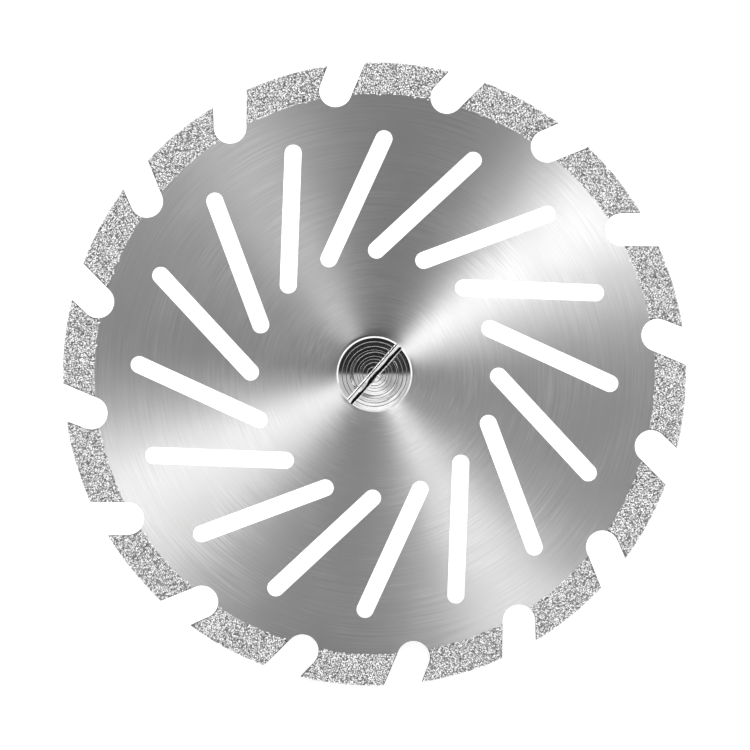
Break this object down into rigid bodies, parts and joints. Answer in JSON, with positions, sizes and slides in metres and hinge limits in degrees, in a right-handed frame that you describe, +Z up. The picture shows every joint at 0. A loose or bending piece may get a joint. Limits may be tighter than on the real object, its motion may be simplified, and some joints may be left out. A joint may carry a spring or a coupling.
{
  "type": "double-sided diamond disc",
  "caption": "Thin slotted steel cutting disc with diamond grit on both sides of its rim, clamped on a screw mandrel for a handpiece.",
  "frame": {"origin": "on the ground, below the middle of the bounding box, as the tool lies at rest on two tooth tips and the free end of its shank", "axes": "+Z up; the disc's front looks along -Y and upwards, at 23.9 degrees above the ground; the shank runs along +Y and down; +X is to the right, seen from the front"},
  "size_m": [0.04, 0.048, 0.0367],
  "materials": {
    "sheet_steel": "satin",
    "bonded_grit": "matte",
    "turned_screw_steel": "polished",
    "turned_mandrel_steel": "satin"
  },
  "bodies": {
    "root": {"disc_core": "sheet_steel", "diamond_segment_01": "bonded_grit", "diamond_segment_02": "bonded_grit", "diamond_segment_03": "bonded_grit", "diamond_segment_04": "bonded_grit", "diamond_segment_05": "bonded_grit", "diamond_segment_06": "bonded_grit", "diamond_segment_07": "bonded_grit", "diamond_segment_08": "bonded_grit", "diamond_segment_09": "bonded_grit", "diamond_segment_10": "bonded_grit", "diamond_segment_11": "bonded_grit", "diamond_segment_12": "bonded_grit", "diamond_segment_13": "bonded_grit", "diamond_segment_14": "bonded_grit", "diamond_segment_15": "bonded_grit", "diamond_segment_16": "bonded_grit", "clamp_screw": "turned_screw_steel", "mandrel": "turned_mandrel_steel"}
  },
  "joints": []
}
